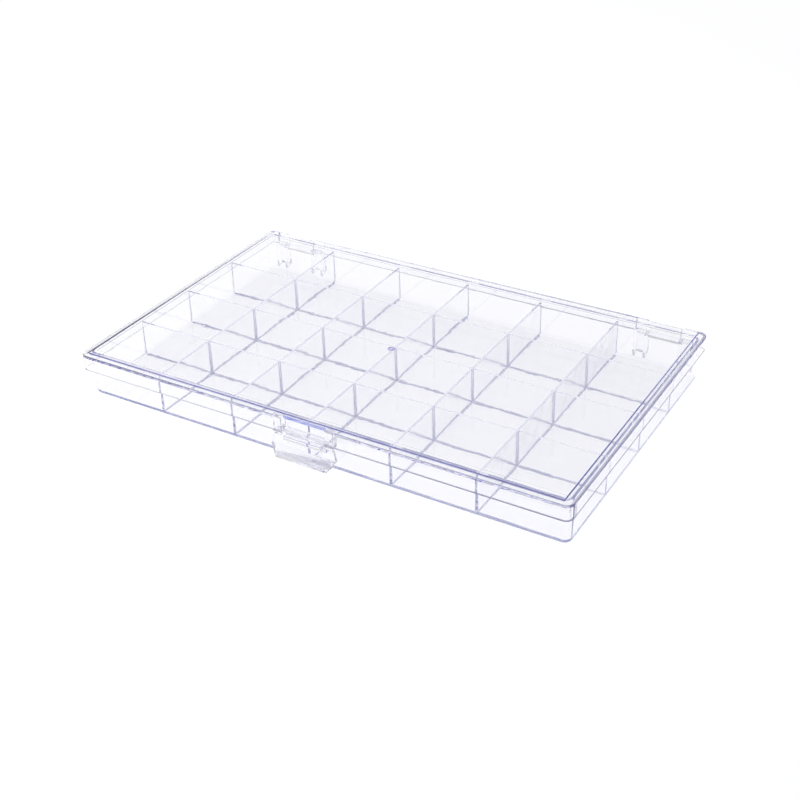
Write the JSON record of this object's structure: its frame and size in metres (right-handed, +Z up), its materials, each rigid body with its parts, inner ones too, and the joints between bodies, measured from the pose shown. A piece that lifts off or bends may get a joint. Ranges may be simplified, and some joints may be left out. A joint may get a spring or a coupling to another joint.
{
  "type": "compartment box",
  "caption": "Shallow clear plastic box for beads and small craft parts: a tray of square compartments, a one-piece hinged lid and a snap latch at the front.",
  "frame": {"origin": "centre of the tray's flat underside, the face that the box stands on", "axes": "+X along the long side of the box, +Y from the latch at the front to the hinges at the back, +Z up from the underside to the lid"},
  "size_m": [0.3376, 0.2162, 0.0313],
  "materials": {
    "clear_tray": "clear polished polystyrene, faint blue-violet in its edges",
    "clear_lid": "clear polished polystyrene, faint blue-violet in its edges",
    "clear_latch": "clear polished polystyrene"
  },
  "bodies": {
    "base": {"base_tray": "clear_tray", "column_divider_1": "clear_tray", "column_divider_2": "clear_tray", "column_divider_3": "clear_tray", "column_divider_4": "clear_tray", "column_divider_5": "clear_tray", "row_divider_1": "clear_tray", "row_divider_2": "clear_tray", "row_divider_3": "clear_tray", "latch_catch": "clear_tray", "hinge_bracket_left_outer": "clear_tray", "hinge_bracket_left_inner": "clear_tray", "hinge_bracket_right_outer": "clear_tray", "hinge_bracket_right_inner": "clear_tray"},
    "lid": {"lid": "clear_lid", "hinge_knuckle_left": "clear_lid", "hinge_knuckle_right": "clear_lid", "latch_ear_left": "clear_lid", "latch_ear_right": "clear_lid"},
    "latch": {"latch": "clear_latch"}
  },
  "joints": [
    {"name": "lid_hinge", "type": "hinge", "parent": "base", "child": "lid", "pos_m": [0, 0.1036, 0.0197], "axis": [-1, 0, 0], "range_deg": [0, 140]},
    {"name": "latch_hinge", "type": "hinge", "parent": "lid", "child": "latch", "pos_m": [0, -0.104, 0.0218], "axis": [-1, 0, 0], "range_deg": [0, 100]}
  ]
}
